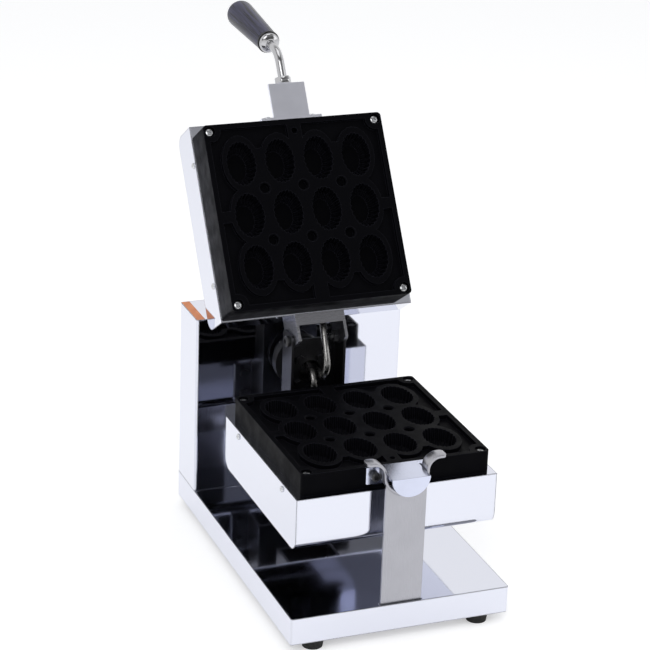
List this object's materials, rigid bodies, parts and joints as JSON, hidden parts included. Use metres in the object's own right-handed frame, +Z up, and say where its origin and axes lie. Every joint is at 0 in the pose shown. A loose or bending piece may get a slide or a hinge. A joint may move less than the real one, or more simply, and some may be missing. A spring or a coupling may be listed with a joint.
{
  "type": "electric cupcake maker",
  "caption": "Counter-top iron for small oval cakes: two hinged mould plates turn on a rear shaft and rest in a front cradle; the lid stands open.",
  "frame": {"origin": "on the counter under the middle of the whole machine with its lid open", "axes": "+X to the machine's right seen from its front, +Y from the front to the back, +Z up"},
  "size_m": [0.25, 0.5722, 0.5587],
  "materials": {
    "polished_stainless": "mirror-polished stainless sheet",
    "brushed_stainless": "brushed stainless strip",
    "zinc_plated_steel": "bright zinc plate",
    "turned_steel": "turned",
    "bearing_iron": "machined casting",
    "bronze": "plain bush",
    "coated_plate": "cast aluminium with a black non-stick coat, satin",
    "element_steel": "heat-tinted sheath",
    "mineral_wool": "loose white wool blanket",
    "foot_rubber": "matte black",
    "control_plastic": "fine-grained black",
    "lamp_lens": "clear red lens",
    "chrome_trim": "bright chrome",
    "grip_plastic": "satin dark blue-grey"
  },
  "bodies": {
    "base": {"base_tray": "polished_stainless", "base_bottom_plate": "brushed_stainless", "feet": "foot_rubber", "foot_screws": "zinc_plated_steel", "front_upright": "brushed_stainless", "upright_studs": "zinc_plated_steel", "cradle": "brushed_stainless", "column_shell": "polished_stainless", "column_bolts": "zinc_plated_steel", "back_cover": "polished_stainless", "back_cover_screws": "zinc_plated_steel", "cord_gland": "control_plastic", "control_bodies": "control_plastic", "rocker_housing": "control_plastic", "pilot_lamp": "lamp_lens", "terminal_block": "control_plastic", "backing_plate": "zinc_plated_steel", "bearing_housing": "bearing_iron", "bearing_bush": "bronze", "bearing_screws": "zinc_plated_steel"},
    "thermostat_knob": {"thermostat_knob": "control_plastic"},
    "timer_knob": {"timer_knob": "control_plastic"},
    "rocker": {"rocker": "control_plastic"},
    "turner": {"spin_shaft": "turned_steel", "shaft_collar": "turned_steel", "yoke": "brushed_stainless", "yoke_bolts": "zinc_plated_steel", "iron_bolts": "zinc_plated_steel", "pivot_bolts": "zinc_plated_steel", "lower_housing": "polished_stainless", "lower_side_screws": "zinc_plated_steel", "lower_mould_plate": "coated_plate", "lower_plate_screws": "zinc_plated_steel", "lower_heater": "element_steel", "lower_clamp_plate": "zinc_plated_steel", "lower_clamp_screws": "zinc_plated_steel", "lower_lagging": "mineral_wool", "lower_tongue": "brushed_stainless", "lower_tongue_screws": "zinc_plated_steel", "lower_gland": "chrome_trim", "lower_conduit": "chrome_trim", "upper_conduit": "chrome_trim"},
    "lid": {"upper_housing": "polished_stainless", "upper_side_screws": "zinc_plated_steel", "upper_mould_plate": "coated_plate", "upper_plate_screws": "zinc_plated_steel", "upper_heater": "element_steel", "upper_clamp_plate": "zinc_plated_steel", "upper_clamp_screws": "zinc_plated_steel", "upper_lagging": "mineral_wool", "upper_tongue": "brushed_stainless", "upper_tongue_screws": "zinc_plated_steel", "upper_gland": "chrome_trim", "hinge_bracket": "brushed_stainless", "bracket_screws": "zinc_plated_steel", "handle_nut": "chrome_trim", "handle_rod": "chrome_trim", "handle_ferrule": "chrome_trim", "handle_ring": "control_plastic", "handle_grip": "grip_plastic"}
  },
  "joints": [
    {"name": "flip", "type": "hinge", "parent": "base", "child": "turner", "pos_m": [0, 0, 0.192], "axis": [0, 1, 0], "range_deg": [-3, 3]},
    {"name": "lid_hinge", "type": "hinge", "parent": "turner", "child": "lid", "pos_m": [0, -0.00209, 0.2375], "axis": [1, 0, 0], "range_deg": [0, 123], "deforming": ["upper_conduit"]},
    {"name": "thermostat_turn", "type": "hinge", "parent": "base", "child": "thermostat_knob", "pos_m": [-0.058, 0.08192, 0.26], "axis": [0, 0, 1], "range_deg": [-270, 0]},
    {"name": "timer_turn", "type": "hinge", "parent": "base", "child": "timer_knob", "pos_m": [0, 0.08192, 0.26], "axis": [0, 0, 1], "range_deg": [-300, 0]},
    {"name": "rocker_tilt", "type": "hinge", "parent": "base", "child": "rocker", "pos_m": [0.048, 0.08192, 0.254], "axis": [1, 0, 0], "range_deg": [0, 20]}
  ]
}
